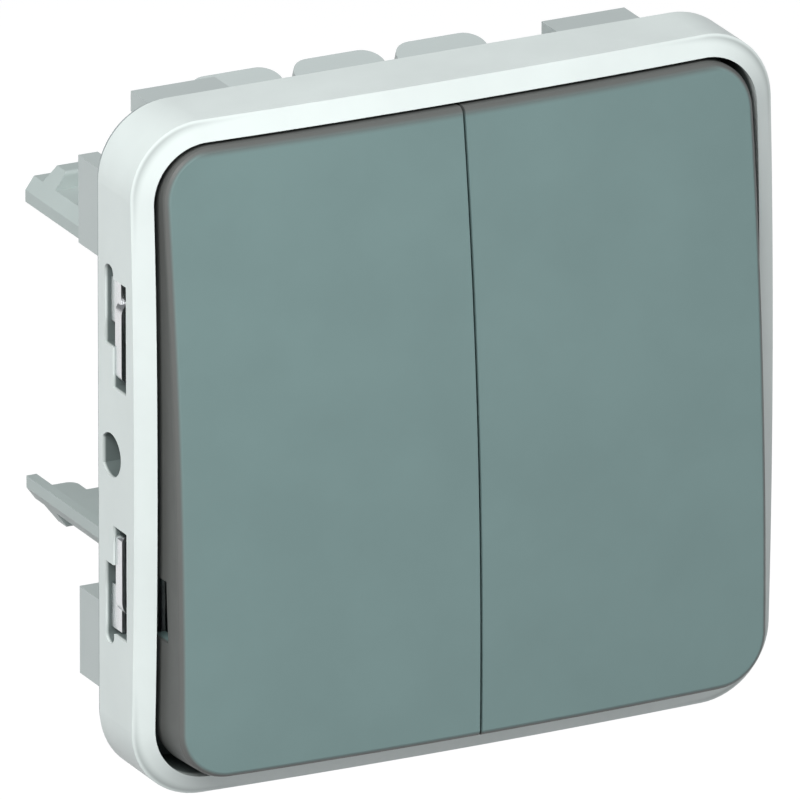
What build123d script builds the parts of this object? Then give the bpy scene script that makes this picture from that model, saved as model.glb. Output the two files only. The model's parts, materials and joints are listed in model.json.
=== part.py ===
import os
from math import cos, radians, sin

from build123d import *

# Double rocker wall switch, millimetres. +Z is up, +Y points into the wall and the face looks to -Y.
# The origin is the centre of the plane on which the frame's rear edge seats. "Height" means the
# distance in front of that plane, so a height h lies at Y = -h, and behind the plane it is negative.

# frame
frame_width = 66.0
frame_corner_radius = 7.0
frame_wall = 1.9
opening_half = frame_width / 2 - frame_wall
opening_corner_radius = 5.4
frame_crown_radius = 546.0
rim_height = 10.03
rim_fall = 1.05
rim_overlap = 0.35
gasket_thickness, gasket_inset, gasket_gap = 0.6, 0.25, 0.1
ledge_height = 1.95
ledge_half, ledge_corner_radius = 27.6, 3.0

# openings in the frame's side walls: heights, then distances from the middle
window_front = (3.6, 6.35, 6.8, 17.45)
window_rear = (1.95, 3.7, 10.7, 18.6)
window_end_radius = 0.8
d_hole_height, d_hole_radius, d_hole_flat = 3.1, 2.12, 1.43

# posts behind the frame, two on each side
post_outer = 30.9
post_thickness = 2.0
post_near = 16.9
post_far = 25.5
post_depth = 7.8
lug_height, lug_depth, lug_length, lug_gap = 0.8, 1.6, 5.0, 0.1

# rocker caps
cap_outer = 30.35
cap_half_height = 30.4
seam_half_gap = 0.15
cap_corner_radius = 5.0
cap_wall = 1.5
cap_bevel, cap_bevel_corner = 0.41, 0.15
cap_apex_height = 12.92
cap_crown_radius = 370.0
skirt_height_middle = 4.0
skirt_height_end = 5.6
notch_low, notch_high, notch_height = 11.2, 17.2, 8.6
beyond = 1.0  # how far a cutting shape reaches past what it cuts
rocker_tilt = 3.45
pivot_height = 3.4

# toggles
saddle_low, saddle_high, saddle_half = 6.6, 8.0, 9.0
saddle_x, hub_x, hub_radius = (3.0, 23.0), (1.8, 24.4), 2.0
leg_x, leg_thickness, leg_hook, leg_slope, leg_gap = (8.0, 18.0), 1.2, 0.7, 0.95, 0.05
leg_root_overlap, hub_overlap = 0.4, 0.1
stiffener_z, stiffener_thickness, stiffener_gap = 19.0, 1.2, 0.6
ear_notch_height, ear_notch_length, ear_notch_depth = 6.4, 6.4, 2.1
stem_ceiling = 2.0

# side clips: heights of the strip, its bends as (x, z) with their radii, and its lug
clip_thickness = 0.35
clip_low, clip_high = 3.65, 4.95
clip_bends = ((31.5, 7.75), (32.6, 7.75), (32.6, 15.45), (30.88, 15.45), (30.88, 20.2))
clip_bend_radii = (0.45, 1.4, 0.2)
clip_lug_x, clip_lug_low = 32.3, 2.1
clip_lug_near, clip_lug_far = 12.9, 17.2

# support plate and bearings
plate_half, plate_corner_radius = 28.7, 2.5
seal_thickness, seal_width, seal_gap = 0.9, 0.9, 0.05
pin_clearance = 0.05
plate_front, plate_back = 0.6, -1.2
pin_radius, pin_inner_end = 1.0, 0.4
ear_radius = 2.2
ear_outer = (24.8, 26.6)
ear_middle_half = 1.4
bearing_window, bearing_window_length = 9.0, 10.0
screw_radius, screw_head, screw_clearance = 1.05, 0.9, 0.05
screw_places = [(-18.2, 18.6), (18.2, -18.6)]
screw_length, screw_depth = 7.0, 6.0

# rear housing
housing_half, housing_corner_radius = 21.0, 2.0
housing_back = -20.0
housing_wall = 1.3
terminal_block_half_width = 16.6
terminal_block_outer = 22.2
terminal_wall = 16.4
terminal_pitch = 10.6
contact_chamber = (1.0, 19.6)
conductor_slot = 8.6
rib_pitch, rib_width, rib_proud, rib_front, rib_length = 6.0, 1.2, 0.7, 4.0, 13.0
panel_width, panel_height, panel_depth = 24.0, 15.0, 0.4
gauge_length, gauge_width, gauge_depth, gauge_z = 11.0, 2.2, 0.7, -10.6

# latch tongues of the housing
tongue_outer = 26.4
tongue_low, tongue_high, tongue_chamfer_x, tongue_chamfer_z = 13.55, 15.97, 0.9, 1.25
tongue_depth = 28.2
tongue_thickness, tongue_corner_radius = 1.05, 1.0
tongue_root, tongue_end = 19.7, 21.4
ridge_front, ridge_rear, ridge_top, ridge_step = 23.7, 26.4, 17.6, 25.7
ridge_overlap, ridge_slope, ridge_crest_radius = 0.2, 0.7, 0.4

# switching parts
circuit_x = 10.6
stem_radius, stem_bore = 2.6, 1.7
stem_depth = -5.6
plunger_tip_depth = 7.85
plunger_radius, plunger_nose_radius, plunger_length = 1.55, 0.6, 4.6
spring_radius, spring_wire, spring_turns = 1.2, 0.25, 3
blade_axis_depth = 8.3
blade_thickness = 0.6
blade_tilt = 5.5
contact_offset = 7.4
contact_radius = 1.3
button_height, contact_play = 0.6, 0.06

# conductors
strip_thickness, strip_width = 0.6, 4.6
fixed_near, terminal_end, terminal_depth = 5.6, 20.85, 17.2
common_x, common_width = 2.7, 3.0
blade_width, blade_tab, blade_tab_width, ear_gap, bracket_half = 4.4, 3.6, 0.7, 2.7, 1.7
notch_depth, notch_reach = 0.75, 0.6

# terminals
wire_hole_radius, wire_opening = 1.6, 3.8
wire_hole_z = 19.0
lever_width = 9.2
lever_slope = 21.0
lever_rear = (17.6, 27.2)
lever_length = 8.0
lever_thickness = 1.8
lever_corner_radius, lever_edge = 2.0, 0.4
lever_pivot = (11.0, 23.6)
trunnion_radius = 0.7
trunnion_half = 5.2
lever_ears = (-15.9, -5.3, 5.3, 15.9)
lever_ear_radius, ear_thickness = 1.4, 0.8
slot_y, slot_width = (11.6, 15.4), 3.2
pusher_y, pusher_tip_y, pusher_width, pusher_tip = (13.2, 14.8), 14.2, 2.2, 20.6
pusher_window_width = 3.0
entry_plate_width, entry_plate_height, entry_plate_thickness = 31.0, 6.2, 1.4
spring_width, spring_thickness = 4.4, 0.4
spring_bends = ((12.2, 17.35), (17.0, 17.35), (17.8, 17.8), (17.2, 18.3), (12.2, 20.0))

sides = {"left": -1, "right": 1}
rows = {"top": 1, "bottom": -1}
columns = {"left": -1, "middle": 0, "right": 1}

os.makedirs("parts", exist_ok=True)


def save(piece, name):
    piece.label = name
    export_step(piece, f"parts/{name}.step")


def at_height(height):
    """The plane in front of the seating plane that looks to the room: its local Y is the object's Z."""
    return Plane.XZ.offset(height)


def crown_ball(radius, apex_height):
    """A large ball whose front pole stands at the given height, for a crowned front."""
    with BuildPart() as ball:
        with Locations((0, radius - apex_height, 0)):
            Sphere(radius)
    return ball.part


def at_rest(piece):
    """Tilts a piece of a rocker from its level place to its rest place, with the upper end pressed in."""
    return piece.rotate(Axis((0, -pivot_height, 0), (1, 0, 0)), -rocker_tilt)


# ---- frame ----------------------------------------------------------------------------------------


def outward(quarter):
    """A plane through the origin that looks out of one side: local X is depth, local Y runs along it."""
    turn = radians(90 * quarter)
    return Plane(origin=(0, 0, 0), x_dir=(0, 1, 0), z_dir=(cos(turn), 0, sin(turn)))


with BuildPart() as front_frame:
    with BuildSketch(at_height(gasket_thickness)):
        RectangleRounded(frame_width, frame_width, frame_corner_radius)
    extrude(amount=rim_height)
    add(crown_ball(frame_crown_radius, rim_height), mode=Mode.INTERSECT)
    outer_rim = front_frame.faces().sort_by(Axis.Y)[0].edges()
    chamfer(outer_rim, length=rim_fall, length2=frame_wall + rim_overlap)
    with BuildSketch(at_height(ledge_height)):
        RectangleRounded(2 * opening_half, 2 * opening_half, opening_corner_radius)
    extrude(amount=rim_height, mode=Mode.SUBTRACT)
    with BuildSketch(at_height(0)):
        RectangleRounded(2 * ledge_half, 2 * ledge_half, ledge_corner_radius)
    extrude(amount=ledge_height, mode=Mode.SUBTRACT)
    # two stepped clip windows in each side wall, and a D-shaped hole between them
    with BuildSketch(outward(0).offset(-frame_width / 2)) as windows:
        for up in rows.values():
            for low, high, near, far in (window_front, window_rear):
                with Locations((-(low + high) / 2, up * (near + far) / 2)):
                    Rectangle(high - low, far - near)
        across = windows.vertices().group_by(Axis.Y)
        fillet(across[0] + across[-1], window_end_radius)
        with Locations((-d_hole_height, 0)):
            Circle(d_hole_radius)
        with Locations((d_hole_radius - d_hole_flat, 0)):
            Rectangle(2 * d_hole_radius, 3 * d_hole_radius, mode=Mode.SUBTRACT)
    extrude(amount=frame_width, mode=Mode.SUBTRACT)
    # posts, and behind the support plate a snap lug on the inner face of each
    for quarter in range(4):
        post_middle = (post_near + post_far) / 2
        with BuildSketch(outward(quarter).offset(post_outer - post_thickness)):
            depth_middle = (post_depth - ledge_height) / 2
            with Locations((depth_middle, -post_middle), (depth_middle, post_middle)):
                Rectangle(post_depth + ledge_height, post_far - post_near)
        extrude(amount=post_thickness)
        with BuildSketch(outward(quarter).offset(post_outer - post_thickness - lug_height)):
            lug_middle = -plate_back + lug_gap + lug_depth / 2
            with Locations((lug_middle, -post_middle), (lug_middle, post_middle)):
                Rectangle(lug_depth, lug_length)
        extrude(amount=lug_height)
save(front_frame.part, "front_frame")

with BuildPart() as frame_gasket:
    with BuildSketch(at_height(0)):
        outer, inner = frame_width - 2 * gasket_inset, 2 * (post_outer + gasket_gap)
        RectangleRounded(outer, outer, frame_corner_radius - gasket_inset)
        RectangleRounded(inner, inner, opening_corner_radius, mode=Mode.SUBTRACT)
    extrude(amount=gasket_thickness)
save(frame_gasket.part, "frame_gasket")

with BuildPart() as plate_seal:
    with BuildSketch(at_height(plate_front)):
        outer = 2 * (ledge_half - seal_gap)
        inner = outer - 2 * seal_width
        RectangleRounded(outer, outer, ledge_corner_radius)
        RectangleRounded(inner, inner, ledge_corner_radius - seal_width, mode=Mode.SUBTRACT)
    extrude(amount=seal_thickness)
save(plate_seal.part, "plate_seal")

# ---- side clips: spring strips bent into the windows, with a lug in the narrow part --------------------

for side, s in sides.items():
    for row, up in rows.items():
        with BuildPart() as side_clip:
            with BuildSketch(at_height(clip_low)):
                with BuildLine():
                    FilletPolyline(*[(x, up * z) for x, z in clip_bends], radius=clip_bend_radii)
                trace(line_width=clip_thickness)
            extrude(amount=clip_high - clip_low)
            with BuildSketch(at_height(clip_lug_low)):
                with Locations((clip_lug_x, up * (clip_lug_near + clip_lug_far) / 2)):
                    Rectangle(clip_thickness, clip_lug_far - clip_lug_near)
            extrude(amount=(clip_low + clip_high) / 2 - clip_lug_low)
            if s < 0:
                mirror(about=Plane.YZ, mode=Mode.REPLACE)
        save(side_clip.part, f"side_clip_{row}_{side}")

# ---- support plate with the rockers' bearings --------------------------------------------------------

with BuildPart() as support_plate:
    with BuildSketch(at_height(plate_back)):
        RectangleRounded(2 * plate_half, 2 * plate_half, plate_corner_radius)
    extrude(amount=plate_front - plate_back)
    # bearing ears: one at the outer end of each pin, and one in the middle for both pins
    ear_rise = pivot_height - plate_front
    for low, high in ((-ear_outer[1], -ear_outer[0]), (-ear_middle_half, ear_middle_half), ear_outer):
        with BuildSketch(Plane.YZ.offset(low)):
            with Locations((-pivot_height, 0)):
                Circle(ear_radius)
            with Locations((-plate_front - ear_rise / 2, 0)):
                Rectangle(ear_rise, 2 * ear_radius)
        extrude(amount=high - low)
    with BuildSketch(Plane.YZ.offset(-ear_outer[1])):
        with Locations((-pivot_height, 0)):
            Circle(pin_radius)
    extrude(amount=2 * ear_outer[1], mode=Mode.SUBTRACT)
    with BuildSketch(at_height(plate_back)):
        with Locations((-circuit_x, 0), (circuit_x, 0)):
            Rectangle(bearing_window, bearing_window_length)
        with Locations(*screw_places):
            Circle(screw_radius)
    extrude(amount=plate_front - plate_back, mode=Mode.SUBTRACT)
save(support_plate.part, "support_plate")

for side, s in sides.items():
    with BuildPart() as pivot_pin:
        with BuildSketch(Plane.YZ.offset(pin_inner_end)):
            with Locations((-pivot_height, 0)):
                Circle(pin_radius)
        extrude(amount=ear_outer[1] - pin_inner_end)
        if s < 0:
            mirror(about=Plane.YZ, mode=Mode.REPLACE)
    save(pivot_pin.part, f"pivot_pin_{side}")

# ---- rocker caps -----------------------------------------------------------------------------------


def cap_block(inset):
    """A level right-hand cap without its hollow: a rounded outline under the crowned face."""
    low, high = seam_half_gap + inset, cap_outer - inset
    with BuildPart() as block:
        with BuildSketch(at_height(0)):
            with Locations(((low + high) / 2, 0)):
                outline = Rectangle(high - low, 2 * (cap_half_height - inset))
            fillet(outline.vertices().group_by(Axis.X)[-1], cap_corner_radius - inset)
        extrude(amount=cap_apex_height)
        add(crown_ball(cap_crown_radius, cap_apex_height - inset), mode=Mode.INTERSECT)
    return block.part


cap_hollow = cap_block(cap_wall)

with BuildPart() as rocker_cap:
    add(cap_block(0))
    # the outer edges of the crown are rounded in three facets, and the edge along the seam is sharp
    chamfer(rocker_cap.faces().sort_by(Axis.Y)[0].edges().sort_by(Axis.X)[1:], cap_bevel)
    bevels = rocker_cap.faces().filter_by(GeomType.BSPLINE)
    long_edges = bevels.edges().filter_by(lambda edge: edge.length > 2 * cap_bevel)
    chamfer(long_edges, cap_bevel_corner)
    add(cap_hollow, mode=Mode.SUBTRACT)
    # the skirt's free edge rises towards both ends, so that the pressed end stays off the ledge
    with BuildSketch(Plane.YZ):
        end = cap_half_height + beyond
        Polygon(
            (beyond, -end), (-skirt_height_end, -end), (-skirt_height_middle, 0),
            (-skirt_height_end, end), (beyond, end), align=None,
        )
    extrude(amount=cap_outer + beyond, mode=Mode.SUBTRACT)
    # notch in the outer side wall
    with BuildSketch(Plane.YZ.offset(cap_outer - 2 * cap_wall)):
        with Locations((-notch_height / 2, -(notch_low + notch_high) / 2)):
            Rectangle(notch_height, notch_high - notch_low)
    extrude(amount=3 * cap_wall, mode=Mode.SUBTRACT)
    # room in the seam-side wall for the middle bearing ear
    with BuildSketch(Plane.YZ):
        with Locations((-ear_notch_height / 2, 0)):
            Rectangle(ear_notch_height, ear_notch_length)
    extrude(amount=seam_half_gap + ear_notch_depth, mode=Mode.SUBTRACT)
    # snap legs that grip the toggle's saddle from above and below, and stiffening ribs
    leg_root = -(cap_apex_height - cap_wall + leg_root_overlap)
    leg_tip = -saddle_low + leg_gap
    for up in rows.values():
        with BuildSketch(Plane.YZ.offset(leg_x[0])):
            leg_face = saddle_half + leg_gap
            Polygon(
                (leg_root, up * leg_face), (leg_tip, up * leg_face),
                (leg_tip, up * (leg_face - leg_hook)), (leg_tip + leg_slope, up * leg_face),
                (leg_tip + leg_slope, up * (leg_face + leg_thickness)),
                (leg_root, up * (leg_face + leg_thickness)), align=None,
            )
        extrude(amount=leg_x[1] - leg_x[0])
    with BuildSketch(at_height(saddle_high + stiffener_gap)):
        middle = (leg_x[0] + leg_x[1]) / 2
        with Locations((middle, -stiffener_z), (middle, stiffener_z)):
            Rectangle(cap_outer - 2 * cap_wall, stiffener_thickness)
    extrude(until=Until.NEXT, target=rocker_cap.part)
save(at_rest(rocker_cap.part), "rocker_right")
save(at_rest(mirror(rocker_cap.part, about=Plane.YZ)), "rocker_left")

# ---- toggles: saddle, hub on the pin, and the stem that holds the detent ------------------------------

with BuildPart() as toggle:
    with BuildSketch(at_height(saddle_low)):
        with Locations(((saddle_x[0] + saddle_x[1]) / 2, 0)):
            Rectangle(saddle_x[1] - saddle_x[0], 2 * saddle_half)
    extrude(amount=saddle_high - saddle_low)
    with BuildSketch(Plane.YZ.offset(hub_x[0])):
        with Locations((-pivot_height, 0)):
            Circle(hub_radius)
        with Locations((-(pivot_height + saddle_low) / 2, 0)):
            Rectangle(saddle_low - pivot_height + 2 * hub_overlap, 2 * hub_radius)
    extrude(amount=hub_x[1] - hub_x[0])
    with BuildSketch(at_height(stem_depth)):
        with Locations((circuit_x, 0)):
            Circle(stem_radius)
    extrude(amount=saddle_low - stem_depth)
    with BuildSketch(Plane.YZ.offset(hub_x[0])):
        with Locations((-pivot_height, 0)):
            Circle(pin_radius + pin_clearance)
    extrude(amount=hub_x[1] - hub_x[0], mode=Mode.SUBTRACT)
    with BuildSketch(at_height(stem_depth)):
        with Locations((circuit_x, 0)):
            Circle(stem_bore)
    extrude(amount=stem_ceiling - stem_depth, mode=Mode.SUBTRACT)
save(at_rest(toggle.part), "toggle_right")
save(at_rest(mirror(toggle.part, about=Plane.YZ)), "toggle_left")

with BuildPart() as detent_plunger:
    with BuildSketch(at_height(-plunger_tip_depth)):
        with Locations((circuit_x, 0)):
            Circle(plunger_radius)
    extrude(amount=plunger_length)
    tip = detent_plunger.edges().filter_by(GeomType.CIRCLE).sort_by(Axis.Y)[-1]
    chamfer(tip, plunger_radius - plunger_nose_radius)
save(at_rest(detent_plunger.part), "detent_plunger_right")
save(at_rest(mirror(detent_plunger.part, about=Plane.YZ)), "detent_plunger_left")

spring_front = -stem_ceiling + spring_wire
spring_back = plunger_tip_depth - plunger_length - spring_wire
with BuildPart() as detent_spring:
    with BuildLine() as coil:
        Helix(
            pitch=(spring_back - spring_front) / spring_turns, height=spring_back - spring_front,
            radius=spring_radius, center=(circuit_x, spring_front, 0), direction=(0, 1, 0),
        )
    with BuildSketch(Plane(coil.line @ 0, z_dir=coil.line % 0)):
        RegularPolygon(spring_wire, 4)
    sweep(path=coil.line, is_frenet=True)
save(at_rest(detent_spring.part), "detent_spring_right")
save(at_rest(mirror(detent_spring.part, about=Plane.YZ)), "detent_spring_left")

# ---- rear housing ------------------------------------------------------------------------------------

# one latch tongue, upper right: an angle section with a snap ridge across its plate
with BuildPart() as tongue:
    with BuildSketch(at_height(plate_back)):
        with BuildLine():
            Polyline(
                (tongue_outer, tongue_low), (tongue_outer, tongue_high - tongue_chamfer_z),
                (tongue_outer - tongue_chamfer_x, tongue_high), (tongue_root, tongue_high),
                (tongue_root, tongue_high - tongue_thickness),
                (tongue_outer - tongue_thickness, tongue_high - tongue_thickness),
                (tongue_outer - tongue_thickness, tongue_low), close=True,
            )
        make_face()
    extrude(amount=-(tongue_depth + plate_back))
    with BuildSketch(Plane.YZ.offset(tongue_root)):
        base = tongue_high - ridge_overlap
        Polygon(
            (ridge_front, base), (ridge_front, ridge_top), (ridge_rear - ridge_slope, ridge_top),
            (ridge_rear, base), align=None,
        )
    extrude(amount=tongue_outer - tongue_root)
    ridge_crest = tongue.edges().filter_by(Axis.X).group_by(Axis.Z)[-1].sort_by(Axis.Y)[0]
    fillet(ridge_crest, ridge_crest_radius)
    # the chamfer goes on across the ridge
    with BuildSketch(at_height(plate_back)):
        steepness = tongue_chamfer_z / tongue_chamfer_x
        rise = ridge_top + beyond - tongue_high
        Polygon(
            (tongue_outer + beyond, tongue_high - tongue_chamfer_z - beyond * steepness),
            (tongue_outer + beyond, ridge_top + beyond),
            (tongue_outer - tongue_chamfer_x - rise / steepness, ridge_top + beyond), align=None,
        )
    extrude(amount=-(tongue_depth + plate_back), mode=Mode.SUBTRACT)
    # plan outline: the free end is narrower, with a rounded inner corner
    with BuildSketch(Plane.XY) as plan:
        with Locations(((tongue_end + tongue_outer) / 2, tongue_depth / 2)):
            Rectangle(tongue_outer - tongue_end, tongue_depth)
        fillet(plan.vertices().sort_by(Axis.Y)[-2:].sort_by(Axis.X)[0], tongue_corner_radius)
        with Locations(((tongue_root + tongue_outer) / 2, ridge_step / 2)):
            Rectangle(tongue_outer - tongue_root, ridge_step)
    extrude(amount=tongue_outer, mode=Mode.INTERSECT)

with BuildPart() as rear_housing:
    with BuildSketch(at_height(plate_back)):
        RectangleRounded(2 * housing_half, 2 * housing_half, housing_corner_radius)
        Rectangle(2 * terminal_block_half_width, 2 * terminal_block_outer)
    extrude(amount=-(plate_back - housing_back))
    # contact chambers, and terminal chambers above and below them
    with BuildSketch(at_height(plate_back)):
        near, far = contact_chamber
        middle = (near + far) / 2
        with Locations((-middle, 0), (middle, 0)):
            Rectangle(far - near, 2 * (terminal_wall - housing_wall / 2))
        near, far = terminal_wall + housing_wall / 2, terminal_block_outer - housing_wall
        for up in rows.values():
            with Locations((0, up * (near + far) / 2)):
                with GridLocations(terminal_pitch, 0, 3, 1):
                    Rectangle(terminal_pitch - housing_wall, far - near)
            # slots in the walls between the chambers, which the conductors pass
            with Locations((0, up * terminal_wall)):
                with GridLocations(terminal_pitch, 0, 3, 1):
                    Rectangle(conductor_slot, 2 * housing_wall)
    extrude(amount=-(plate_back - housing_back - housing_wall), mode=Mode.SUBTRACT)
    # openings for the wires in the floor of the terminal chambers
    with BuildSketch(at_height(housing_back)):
        with GridLocations(terminal_pitch, 2 * wire_hole_z, 3, 2):
            Rectangle(wire_opening, wire_opening)
    extrude(amount=housing_wall, mode=Mode.SUBTRACT)
    # slots for the release levers' pushers, and screw holes
    for up in rows.values():
        with BuildSketch(Plane.XY.offset(up * (terminal_block_outer - 1.5 * housing_wall))):
            with Locations((0, (slot_y[0] + slot_y[1]) / 2)):
                with GridLocations(terminal_pitch, 0, 3, 1):
                    Rectangle(slot_width, slot_y[1] - slot_y[0])
        extrude(amount=up * 2 * housing_wall, mode=Mode.SUBTRACT)
    add(tongue.part)
    mirror(about=Plane.YZ)
    mirror(about=Plane.XY)
    with BuildSketch(at_height(plate_back)):
        with Locations(*screw_places):
            Circle(screw_radius)
    extrude(amount=-screw_depth, mode=Mode.SUBTRACT)
    # ribs on the outer sides, and in the back a panel and the groove that gauges the stripped length
    with BuildSketch(at_height(-rib_front)):
        for s in sides.values():
            with Locations((s * housing_half, 0)):
                with GridLocations(0, rib_pitch, 1, 3):
                    Rectangle(2 * rib_proud, rib_width)
    extrude(amount=-rib_length)
    with BuildSketch(at_height(housing_back)):
        Rectangle(panel_width, panel_height)
    extrude(amount=panel_depth, mode=Mode.SUBTRACT)
    with BuildSketch(at_height(housing_back)):
        with Locations((0, gauge_z)):
            Rectangle(gauge_length, gauge_width)
    extrude(amount=gauge_depth, mode=Mode.SUBTRACT)
    # ears that carry the release levers
    for up in rows.values():
        for x in lever_ears:
            with BuildSketch(Plane.YZ.offset(x - ear_thickness / 2)):
                with Locations((lever_pivot[0], up * lever_pivot[1])):
                    ear = Rectangle(2 * lever_ear_radius, 2 * lever_ear_radius)
                    outer_corners = ear.vertices().sort_by(Axis.Y)[::up][2:]
                    chamfer(outer_corners, lever_ear_radius / 2)
                    Circle(trunnion_radius + pin_clearance, mode=Mode.SUBTRACT)
            extrude(amount=ear_thickness)
save(rear_housing.part, "rear_housing")

for row, up in rows.items():
    with BuildPart() as wire_entry_plate:
        with BuildSketch(at_height(housing_back)):
            with Locations((0, up * wire_hole_z)):
                Rectangle(entry_plate_width, entry_plate_height)
                with GridLocations(terminal_pitch, 0, 3, 1):
                    Circle(wire_hole_radius, mode=Mode.SUBTRACT)
        extrude(amount=-entry_plate_thickness)
    save(wire_entry_plate.part, f"wire_entry_plate_{row}")

# ---- release levers: tab, trunnions and the pusher that reaches the terminal spring -------------------

slope = radians(lever_slope)
lever_rear_y, lever_rear_z = lever_rear
lever_front_z = lever_rear_z - lever_length * sin(slope)
tab_plane = Plane(
    origin=(0, lever_rear_y, lever_rear_z), x_dir=(1, 0, 0), z_dir=(0, -sin(slope), cos(slope))
)
with BuildPart() as release_lever:
    with BuildSketch(tab_plane) as tab:
        with Locations((0, -lever_length / 2)):
            Rectangle(lever_width, lever_length)
        fillet(tab.vertices().group_by(Axis.Y)[-1], lever_corner_radius)
    extrude(amount=-lever_thickness)
    tab_top = release_lever.faces().filter_by(GeomType.PLANE).sort_by(Axis.Z)[-1]
    chamfer(tab_top.edges().sort_by(Axis.Y)[1:], lever_edge)
    # pusher through the housing's slot
    with BuildSketch(Plane.YZ.offset(-pusher_width / 2)):
        Polygon(
            (pusher_y[0], lever_front_z), (pusher_y[0], pusher_tip), (pusher_tip_y, pusher_tip),
            (pusher_y[1], lever_front_z), align=None,
        )
    extrude(amount=pusher_width)
    # hub and trunnions
    with BuildSketch(Plane.YZ.offset(-trunnion_half)):
        with Locations(lever_pivot):
            Circle(trunnion_radius)
    extrude(amount=2 * trunnion_half)
for row, up in rows.items():
    for column, x in columns.items():
        lever = release_lever.part if up > 0 else mirror(release_lever.part, about=Plane.XY)
        save(lever.moved(Location((x * terminal_pitch, 0, 0))), f"release_lever_{row}_{column}")

# ---- contacts ----------------------------------------------------------------------------------------


with BuildPart() as contact_blade:
    front = -blade_axis_depth + blade_thickness / 2
    with BuildSketch(at_height(front - blade_thickness)):
        with Locations((circuit_x, 0)):
            plate = Rectangle(blade_width, 2 * contact_offset + blade_width)
            chamfer(plate.vertices(), blade_width / 4)
            Rectangle(2 * blade_tab, blade_tab_width)
    extrude(amount=blade_thickness)
    with BuildSketch(at_height(front - blade_thickness)):
        with Locations((circuit_x, -contact_offset), (circuit_x, contact_offset)):
            Circle(contact_radius)
    extrude(amount=-button_height)
blade_axis = Axis((0, blade_axis_depth, 0), (1, 0, 0))
blade_right = contact_blade.part.rotate(blade_axis, blade_tilt)
save(blade_right, "contact_blade_right")
save(mirror(blade_right, about=Plane.YZ), "contact_blade_left")

blade_reach = (contact_offset + contact_radius) * sin(radians(blade_tilt))
fixed_front = blade_axis_depth + blade_reach + blade_thickness / 2 + button_height + contact_play


def pusher_window(x, up):
    """The opening in a conductor's terminal leg that a release lever's pusher passes."""
    with BuildSketch(Plane.XY.offset(up * (terminal_end - 2 * strip_thickness))) as window:
        with Locations((x, (slot_y[0] + slot_y[1]) / 2)):
            Rectangle(pusher_window_width, slot_y[1] - slot_y[0])
    return window.sketch


for side, s in sides.items():
    for row, up in rows.items():
        with BuildPart() as fixed_contact:
            with BuildSketch(Plane.XZ.offset(-fixed_front - button_height - strip_thickness)):
                with Locations((s * circuit_x, up * (fixed_near + terminal_end) / 2)):
                    Rectangle(strip_width, terminal_end - fixed_near)
            extrude(amount=strip_thickness)
            with BuildSketch(Plane.XZ.offset(-fixed_front - button_height)):
                with Locations((s * circuit_x, up * contact_offset)):
                    Circle(contact_radius)
            extrude(amount=button_height)
            with BuildSketch(Plane.XZ.offset(-terminal_depth)):
                with Locations((s * circuit_x, up * (terminal_end - strip_thickness / 2))):
                    Rectangle(strip_width, strip_thickness)
            extrude(amount=terminal_depth - fixed_front - button_height)
            opening = pusher_window(s * circuit_x, up)
            extrude(opening, amount=up * 3 * strip_thickness, mode=Mode.SUBTRACT)
        save(fixed_contact.part, f"fixed_contact_{row}_{side}")

strip_front = fixed_front + button_height
with BuildPart() as common_terminal:
    # bracket with two bearing ears for the blade's tabs
    base_half = ear_gap + strip_thickness
    with BuildSketch(Plane.XZ.offset(-strip_front - strip_thickness)):
        with Locations((circuit_x, 0)):
            Rectangle(2 * base_half, 2 * bracket_half)
        with Locations(((circuit_x + common_x) / 2, 0)):
            Rectangle(circuit_x - common_x, 2 * bracket_half)
        with Locations((common_x, (terminal_end - bracket_half) / 2)):
            Rectangle(common_width, terminal_end + bracket_half)
    extrude(amount=strip_thickness)
    # bearing ears with a V notch, in which the blade's tabs rock on their edges
    for x in (circuit_x - base_half, circuit_x + ear_gap):
        with BuildSketch(Plane.YZ.offset(x)):
            ear_root, ear_tip = strip_front + strip_thickness / 2, blade_axis_depth - notch_reach
            notch_root = blade_axis_depth + notch_depth
            notch_half = notch_reach + notch_depth
            Polygon(
                (ear_root, -bracket_half), (ear_tip, -bracket_half), (ear_tip, -notch_half),
                (notch_root, 0), (ear_tip, notch_half), (ear_tip, bracket_half),
                (ear_root, bracket_half), align=None,
            )
        extrude(amount=strip_thickness)
    with BuildSketch(Plane.XZ.offset(-terminal_depth)):
        near, far = -strip_width / 2, common_x + common_width / 2
        with Locations(((near + far) / 2, terminal_end - strip_thickness / 2)):
            Rectangle(far - near, strip_thickness)
    extrude(amount=terminal_depth - strip_front)
    extrude(pusher_window(0, 1), amount=3 * strip_thickness, mode=Mode.SUBTRACT)
save(mirror(common_terminal.part, about=Plane.XY), "common_terminal_right")
save(mirror(common_terminal.part, about=Plane.YZ), "common_terminal_left")

for row, up in rows.items():
    for column, x in columns.items():
        with BuildPart() as terminal_spring:
            with BuildSketch(Plane.YZ.offset(x * terminal_pitch - spring_width / 2)):
                with BuildLine():
                    Polyline(*[(y, up * z) for y, z in spring_bends])
                trace(line_width=spring_thickness)
            extrude(amount=spring_width)
        save(terminal_spring.part, f"terminal_spring_{row}_{column}")

with BuildPart() as housing_screws:
    with BuildSketch(at_height(plate_front)):
        with Locations(*screw_places):
            Circle(2 * screw_radius)
    extrude(amount=screw_head)
    with BuildSketch(at_height(plate_front)):
        with Locations(*screw_places):
            Circle(screw_radius - screw_clearance)
    extrude(amount=-screw_length)
save(housing_screws.part, "housing_screws")
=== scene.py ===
import json
import math

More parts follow.
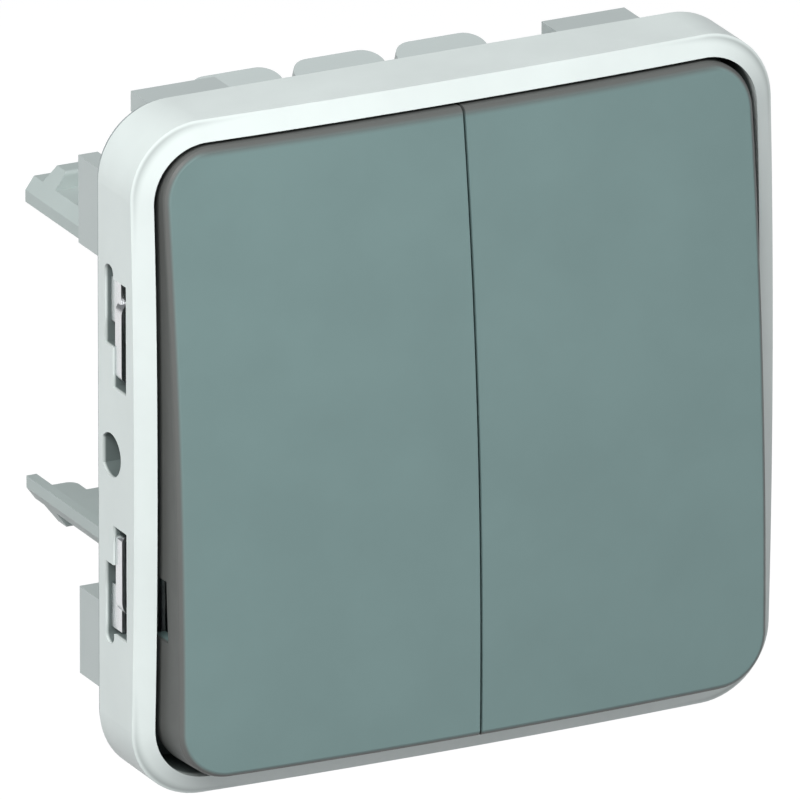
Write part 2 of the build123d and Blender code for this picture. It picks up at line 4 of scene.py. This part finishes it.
import bpy
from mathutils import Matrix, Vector


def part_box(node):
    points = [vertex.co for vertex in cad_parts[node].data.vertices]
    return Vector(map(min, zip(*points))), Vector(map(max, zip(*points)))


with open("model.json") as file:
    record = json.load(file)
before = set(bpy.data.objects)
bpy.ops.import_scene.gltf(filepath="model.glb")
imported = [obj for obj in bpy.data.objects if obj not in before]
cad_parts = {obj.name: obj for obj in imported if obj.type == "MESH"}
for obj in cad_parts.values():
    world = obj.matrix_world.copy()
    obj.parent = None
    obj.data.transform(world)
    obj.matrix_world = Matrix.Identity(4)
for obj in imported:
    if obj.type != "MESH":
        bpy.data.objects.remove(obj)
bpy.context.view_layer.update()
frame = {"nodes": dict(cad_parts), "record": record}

# ---- measures, in the frame's metres -----------------------------------------------------------------

frame_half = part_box("front_frame")[1][0]
frame_corner = 0.007
skin_depth = (-0.0001, -0.0004)
rim_rear = (-0.0078, -0.0070)
seat_plane = (0.0, -0.0003)
behind_seat = (0.0, 0.0003)

cap_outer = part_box("rocker_right")[1][0]
cap_half_height = 0.0304
cap_corner = 0.005
cap_wall_border = (-0.0006, -0.0002)
cap_upper_border = (cap_half_height - 0.0011, cap_half_height - 0.0002)

tilt_joint = next(
    joint for joint in frame["record"]["behaviour"]["joints"] if joint["name"] == "rocker_right_tilt"
)
rocker_pivot = tilt_joint["pos_m"]
rocker_tilt = math.radians(tilt_joint["range_deg"][1] / 2)

# ---- colours -----------------------------------------------------------------------------------------

frame_grey = (0.66, 0.72, 0.70)
# painted shade: the next two tones darken the frame's recesses and the parts behind its rear edge, where
# shade falls
recess_painted_shade = (0.13, 0.16, 0.155)
post_painted_shade = (0.46, 0.51, 0.50)
body_grey = (0.42, 0.48, 0.465)
cap_green = (0.158, 0.240, 0.234)
# painted shade: tone that darkens the caps' side walls and upper edge
cap_wall_painted_shade = (0.105, 0.11, 0.105)
toggle_grey = (0.05, 0.055, 0.055)
seal_grey = (0.27, 0.31, 0.31)
steel = (0.72, 0.73, 0.74)
brass = (0.80, 0.58, 0.26)

# ---- node helpers ------------------------------------------------------------------------------------


def new_material(name):
    """A node material, with its node tree and its Principled shader."""
    material = bpy.data.materials.new(name)
    material.use_nodes = True
    tree = material.node_tree
    return material, tree, tree.nodes["Principled BSDF"]


def noise(tree, scale, detail=3.0, stretch=(1.0, 1.0, 1.0)):
    """Noise in object coordinates, which are the frame's metres, with features of about 1/scale."""
    place = tree.nodes.new("ShaderNodeTexCoord")
    mapping = tree.nodes.new("ShaderNodeMapping")
    mapping.inputs["Scale"].default_value = stretch
    texture = tree.nodes.new("ShaderNodeTexNoise")
    texture.inputs["Scale"].default_value = scale
    texture.inputs["Detail"].default_value = detail
    texture.inputs["Roughness"].default_value = 0.55
    tree.links.new(place.outputs["Object"], mapping.inputs["Vector"])
    tree.links.new(mapping.outputs["Vector"], texture.inputs["Vector"])
    return texture.outputs["Fac"]


def grey(value):
    return value, value, value


def shade(colour, factor):
    return tuple(channel * factor for channel in colour)


def ramp(tree, factor, low, high):
    """A colour ramp between two colours over the middle range of a noise."""
    node = tree.nodes.new("ShaderNodeValToRGB")
    ends = node.color_ramp.elements
    ends[0].position, ends[1].position = 0.35, 0.65
    ends[0].color, ends[1].color = (*low, 1), (*high, 1)
    tree.links.new(factor, node.inputs["Fac"])
    return node.outputs["Color"]


def bump(tree, shader, height, strength, distance):
    node = tree.nodes.new("ShaderNodeBump")
    node.inputs["Strength"].default_value = strength
    node.inputs["Distance"].default_value = distance
    tree.links.new(height, node.inputs["Height"])
    tree.links.new(node.outputs["Normal"], shader.inputs["Normal"])


def calculate(tree, operation, first, second=0.0):
    """A math node on sockets or numbers."""
    node = tree.nodes.new("ShaderNodeMath")
    node.operation = operation
    for socket, value in zip(node.inputs, (first, second)):
        if isinstance(value, float):
            socket.default_value = value
        else:
            tree.links.new(value, socket)
    return node.outputs["Value"]


def place_axes(tree, turn=0.0, pivot=(0.0, 0.0, 0.0)):
    """The object coordinates X, Y and Z, after a turn about the X axis through a pivot."""
    place = tree.nodes.new("ShaderNodeTexCoord")
    rotate = tree.nodes.new("ShaderNodeVectorRotate")
    rotate.rotation_type = "X_AXIS"
    rotate.inputs["Center"].default_value = pivot
    rotate.inputs["Angle"].default_value = turn
    split = tree.nodes.new("ShaderNodeSeparateXYZ")
    tree.links.new(place.outputs["Object"], rotate.inputs["Vector"])
    tree.links.new(rotate.outputs["Vector"], split.inputs["Vector"])
    return split.outputs["X"], split.outputs["Y"], split.outputs["Z"]


def fade(tree, value, span):
    """Goes smoothly from 0 to 1 while the value goes from the span's start to its stop."""
    node = tree.nodes.new("ShaderNodeMapRange")
    node.interpolation_type = "SMOOTHSTEP"
    node.inputs["From Min"].default_value, node.inputs["From Max"].default_value = span
    tree.links.new(value, node.inputs["Value"])
    return node.outputs["Result"]


def tint(tree, colour, other, factor):
    """Mixes a colour socket towards another colour by a factor socket."""
    node = tree.nodes.new("ShaderNodeMix")
    node.data_type = "RGBA"
    tree.links.new(factor, node.inputs["Factor"])
    tree.links.new(colour, node.inputs["A"])
    node.inputs["B"].default_value = (*other, 1)
    return node.outputs["Result"]


def outline_distance(tree, x, z, half_x, half_z, radius):
    """Distance from a rounded rectangle's outline, negative inside it."""
    squares = []
    for value, half in ((x, half_x), (z, half_z)):
        over = calculate(tree, "SUBTRACT", calculate(tree, "ABSOLUTE", value), half - radius)
        over = calculate(tree, "MAXIMUM", over, 0.0)
        squares.append(calculate(tree, "MULTIPLY", over, over))
    from_centre = calculate(tree, "SQRT", calculate(tree, "ADD", *squares))
    return calculate(tree, "SUBTRACT", from_centre, radius)


# ---- finishes ----------------------------------------------------------------------------------------


def moulded_plastic(name, colour, roughness, grain, grain_depth, shading=None):
    """Moulded plastic: a faint mottle in the colour, a fine spark-eroded grain and uneven gloss."""
    material, tree, shader = new_material(name)
    mottle = 0.03
    cloud = noise(tree, 90.0, detail=4.0)
    mottled = ramp(tree, cloud, shade(colour, 1 - mottle), shade(colour, 1 + mottle))
    # painted shade is mixed into the colour here, where a shading function is given
    if shading:
        mottled = shading(tree, mottled)
    tree.links.new(mottled, shader.inputs["Base Color"])
    uneven = ramp(tree, noise(tree, 260.0), grey(roughness - 0.05), grey(roughness + 0.05))
    tree.links.new(uneven, shader.inputs["Roughness"])
    shader.inputs["Specular IOR Level"].default_value = 0.3
    bump(tree, shader, noise(tree, grain, detail=2.0), 0.35, grain_depth)
    return material


def frame_painted_shade(tree, colour):
    """Painted shade: the frame's recesses and the parts behind its rear edge are painted duller than its
    outer skin, as the shade that falls there.
    """
    x, y, z = place_axes(tree)
    depth = outline_distance(tree, x, z, frame_half, frame_half, frame_corner)
    # painted shade in the recesses inside the outer skin, in front of the seat
    recess_shade_mask = calculate(tree, "MULTIPLY", fade(tree, depth, skin_depth), fade(tree, y, rim_rear))
    recess_shade_mask = calculate(tree, "MULTIPLY", recess_shade_mask, fade(tree, y, seat_plane))
    colour = tint(tree, colour, recess_painted_shade, recess_shade_mask)
    # painted shade on the posts and levers behind the seat
    return tint(tree, colour, post_painted_shade, fade(tree, y, behind_seat))


def rocker_painted_shade(tree, colour):
    """Painted shade: the side walls of a cap and a band along its upper edge are painted a darker neutral
    grey than its crowned face, with a soft border.
    """
    x, _, z = place_axes(tree, turn=rocker_tilt, pivot=rocker_pivot)
    depth = outline_distance(tree, x, z, cap_outer, cap_half_height, cap_corner)
    # painted shade on the side walls and along the upper edge of the cap
    wall_shade_mask = fade(tree, depth, cap_wall_border)
    upper_edge_shade_mask = fade(tree, z, cap_upper_border)
    return tint(tree, colour, cap_wall_painted_shade, calculate(tree, "MAXIMUM", wall_shade_mask, upper_edge_shade_mask))


def rubber(name, colour):
    """Matt elastomer with a coarse skin."""
    material, tree, shader = new_material(name)
    speckle = ramp(tree, noise(tree, 700.0, detail=5.0), shade(colour, 0.85), shade(colour, 1.2))
    tree.links.new(speckle, shader.inputs["Base Color"])
    shader.inputs["Roughness"].default_value = 0.75
    bump(tree, shader, noise(tree, 2500.0), 0.4, 0.00003)
    return material


def metal(name, colour, roughness):
    """Rolled strip or drawn wire: fine lines along the rolling direction and slight staining."""
    material, tree, shader = new_material(name)
    shader.inputs["Metallic"].default_value = 1.0
    stain = ramp(tree, noise(tree, 300.0, detail=4.0), shade(colour, 0.92), colour)
    tree.links.new(stain, shader.inputs["Base Color"])
    lines = noise(tree, 900.0, stretch=(1.0, 1.0, 0.08))
    streaks = ramp(tree, lines, grey(roughness - 0.08), grey(roughness + 0.1))
    tree.links.new(streaks, shader.inputs["Roughness"])
    bump(tree, shader, lines, 0.15, 0.00001)
    return material


finishes = {
    "frame_plastic": moulded_plastic(
        "frame_plastic", frame_grey, 0.42, 3800.0, 0.00001, shading=frame_painted_shade
    ),
    "body_plastic": moulded_plastic("body_plastic", body_grey, 0.45, 3200.0, 0.00001),
    "rocker_plastic": moulded_plastic(
        "rocker_plastic", cap_green, 0.5, 5200.0, 0.000012, shading=rocker_painted_shade
    ),
    "toggle_plastic": moulded_plastic("toggle_plastic", toggle_grey, 0.45, 3000.0, 0.00001),
    "seal_rubber": rubber("seal_rubber", seal_grey),
    "spring_steel": metal("spring_steel", steel, 0.25),
    "contact_brass": metal("contact_brass", brass, 0.3),
}

for part in frame["record"]["subparts"]:
    node = frame["nodes"][part["node"]]
    node.data.materials.clear()
    node.data.materials.append(finishes[part["material_slot"]])

# ---- camera ------------------------------------------------------------------------------------------

scene = bpy.context.scene
turn, rise = math.radians(26.6), math.radians(20.3)
towards_camera = Vector(
    (-math.sin(turn) * math.cos(rise), -math.cos(turn) * math.cos(rise), math.sin(rise))
)
aim = Vector((-0.00149, 0.00034, -0.00098))
view_width = 0.07402
lens = 1600.0

camera_data = bpy.data.cameras.new("camera")
camera_data.lens = lens
camera_data.clip_end = 20.0
camera = bpy.data.objects.new("camera", camera_data)
camera.location = aim + towards_camera * view_width * lens / camera_data.sensor_width
camera.rotation_mode = "QUATERNION"
camera.rotation_quaternion = (-towards_camera).to_track_quat("-Z", "Y")
scene.collection.objects.link(camera)
scene.camera = camera

# ---- lights ------------------------------------------------------------------------------------------


def soft_box(name, direction, power):
    """A square soft box that looks at the object from the given direction."""
    away, size = 1.2, 0.5
    data = bpy.data.lights.new(name, "AREA")
    data.size = size
    data.energy = power
    light = bpy.data.objects.new(name, data)
    direction = Vector(direction).normalized()
    light.location = direction * away
    light.rotation_mode = "QUATERNION"
    light.rotation_quaternion = (-direction).to_track_quat("-Z", "Y")
    scene.collection.objects.link(light)


soft_box("key", (-0.55, -0.5, 0.67), 12.9)
soft_box("left", (-0.8, -0.6, 0.0), 4.7)
soft_box("top", (-0.1, -0.45, 0.9), 2.7)
soft_box("front", (0.3, -0.9, 0.35), 1.4)
soft_box("right", (0.9, -0.3, 0.3), 2.2)

world = bpy.data.worlds.new("studio")
world.use_nodes = True
sky = world.node_tree.nodes["Background"]
sky.inputs["Color"].default_value = (0.93, 0.95, 1.0, 1)
sky.inputs["Strength"].default_value = 0.226
scene.world = world
scene.view_settings.view_transform = "Standard"

# ---- floor: pale paper that gives no light back to the object, except in its gloss -----------------------

floor_half, floor_drop = 3.0, 0.12
floor_mesh = bpy.data.meshes.new("floor")
corners = [(x * floor_half, y * floor_half, -floor_drop) for x, y in ((-1, -1), (1, -1), (1, 1), (-1, 1))]
floor_mesh.from_pydata(corners, [], [(0, 1, 2, 3)])
floor = bpy.data.objects.new("floor", floor_mesh)
scene.collection.objects.link(floor)
paper, paper_tree, paper_shader = new_material("paper")
clouds = ramp(paper_tree, noise(paper_tree, 8.0), grey(0.20), grey(0.22))
paper_tree.links.new(clouds, paper_shader.inputs["Base Color"])
paper_shader.inputs["Roughness"].default_value = 0.9
paper_shader.inputs["Emission Color"].default_value = (1, 1, 1, 1)
paper_shader.inputs["Emission Strength"].default_value = 0.85
floor_mesh.materials.append(paper)
floor.visible_diffuse = False
